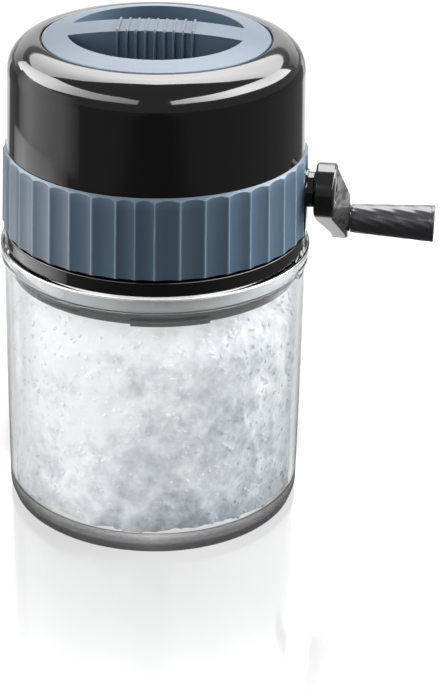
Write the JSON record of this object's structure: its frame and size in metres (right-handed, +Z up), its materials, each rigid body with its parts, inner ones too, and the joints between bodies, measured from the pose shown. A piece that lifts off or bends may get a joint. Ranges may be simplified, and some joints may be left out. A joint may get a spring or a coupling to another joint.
{
  "type": "hand-cranked ice crusher",
  "caption": "Hand-cranked ice crusher: a clear jar under a round black head with a scalloped ring, a lid with a ribbed bar, and a side crank that turns hooked blades.",
  "frame": {"origin": "middle of the jar's underside, on the table", "axes": "+X along the crank's shaft towards the grip, +Y to the rear, +Z up the jar's axis"},
  "size_m": [0.1687, 0.1214, 0.1961],
  "materials": {
    "clear_plastic": "polished, clear",
    "black_gloss": "high gloss",
    "black_satin": "satin",
    "blue_grey": "satin",
    "white_plastic": "satin",
    "steel": "brushed",
    "silicone": "matte"
  },
  "bodies": {
    "jar": {"jar": "clear_plastic"},
    "jar_seal": {"jar_seal": "silicone"},
    "head": {"lower_housing": "black_gloss", "grip_ring": "blue_grey", "hopper_hood": "black_gloss", "crushing_chamber": "black_satin", "bottom_plate": "black_satin", "housing_screws": "steel", "front_comb": "steel", "rear_comb": "steel", "comb_screws": "steel", "end_bush": "white_plastic", "inner_bush": "white_plastic", "boss_bush": "white_plastic"},
    "crank": {"drive_shaft": "steel", "crusher_blade_1": "steel", "crusher_blade_2": "steel", "crusher_blade_3": "steel", "crusher_blade_4": "steel", "crusher_blade_5": "steel", "crusher_blade_6": "steel", "crusher_blade_7": "steel", "blade_spacer_1": "steel", "blade_spacer_2": "steel", "blade_spacer_3": "steel", "blade_spacer_4": "steel", "blade_spacer_5": "steel", "blade_spacer_6": "steel", "blade_spacer_7": "steel", "blade_spacer_8": "steel", "shaft_clip": "steel", "crank_arm": "black_gloss", "crank_screw": "steel", "hub_cap": "black_gloss", "grip_pin": "steel", "grip_washer": "white_plastic"},
    "grip": {"crank_grip": "black_satin", "grip_end_cap": "black_satin"},
    "lid_seal": {"lid_seal": "silicone"},
    "lid": {"lid_cover": "blue_grey", "lid_plug": "black_gloss", "lid_screws": "steel"}
  },
  "joints": [
    {"name": "head_lift", "type": "slide", "parent": "jar", "child": "jar_seal", "axis": [0, 0, 1], "range_m": [0, 0.12]},
    {"name": "head_twist", "type": "hinge", "parent": "jar_seal", "child": "head", "pos_m": [0, 0, 0.11], "axis": [0, 0, 1], "range_deg": [-35, 0]},
    {"name": "crank_turn", "type": "hinge", "parent": "head", "child": "crank", "pos_m": [0.06, 0, 0.1338], "axis": [1, 0, 0], "continuous": true},
    {"name": "grip_spin", "type": "hinge", "parent": "crank", "child": "grip", "pos_m": [0.09, 0.03759, 0.10728], "axis": [1, 0, 0], "continuous": true},
    {"name": "lid_lift", "type": "slide", "parent": "head", "child": "lid_seal", "axis": [0, 0, 1], "range_m": [0, 0.05]},
    {"name": "lid_twist", "type": "hinge", "parent": "lid_seal", "child": "lid", "pos_m": [0, 0, 0.18], "axis": [0, 0, 1], "range_deg": [-28, 0]}
  ]
}
